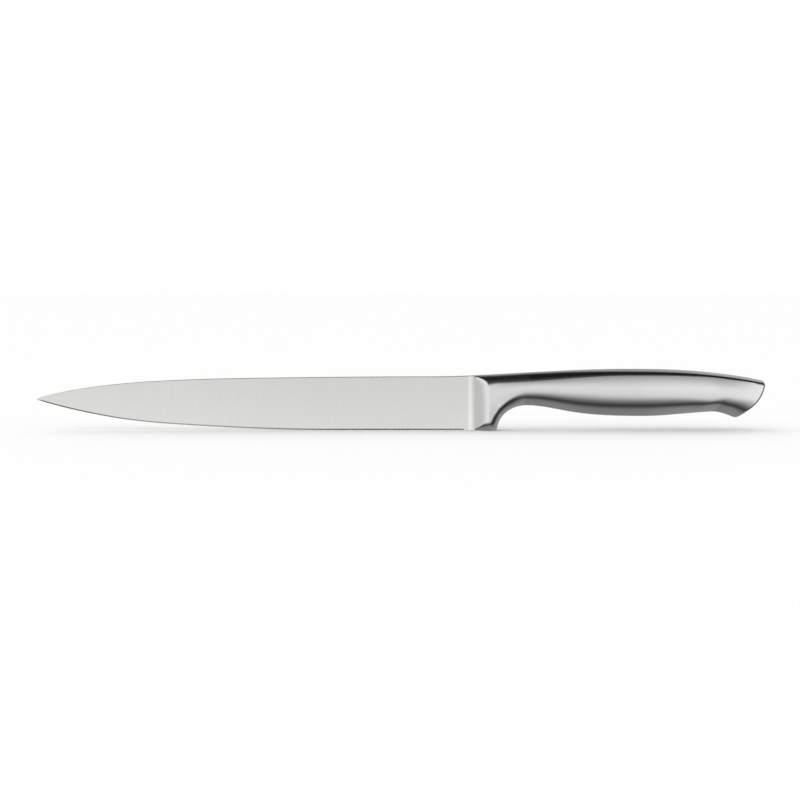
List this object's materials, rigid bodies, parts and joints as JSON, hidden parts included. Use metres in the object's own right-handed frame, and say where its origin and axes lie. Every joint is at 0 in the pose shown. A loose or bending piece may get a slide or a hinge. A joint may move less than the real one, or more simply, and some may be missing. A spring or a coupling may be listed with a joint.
{
  "type": "carving knife",
  "caption": "All-steel carving knife: slim blade with swept tip, scooped bolster with guard and finger recess, hollow hooked handle.",
  "frame": {"origin": "under the middle of the knife's length, level with the underside of the guard", "axes": "+X along the knife from tip to butt, +Y through its thickness towards the right-hand side as it is held, +Z from edge to spine"},
  "size_m": [0.315, 0.016, 0.0266],
  "materials": {
    "blade_steel": "fine vertical satin grind",
    "bolster_steel": "fine satin",
    "handle_steel": "fine lengthwise satin",
    "weld_steel": "ground flush and polished",
    "ballast": "packed sand"
  },
  "bodies": {
    "root": {"blade": "blade_steel", "bolster": "bolster_steel", "root_weld": "weld_steel", "tang_weld": "weld_steel", "handle_shell_left": "handle_steel", "handle_shell_right": "handle_steel", "butt_cap": "handle_steel", "neck_weld": "weld_steel", "spine_weld": "weld_steel", "belly_weld": "weld_steel", "butt_weld": "weld_steel", "balance_fill": "ballast"}
  },
  "joints": []
}
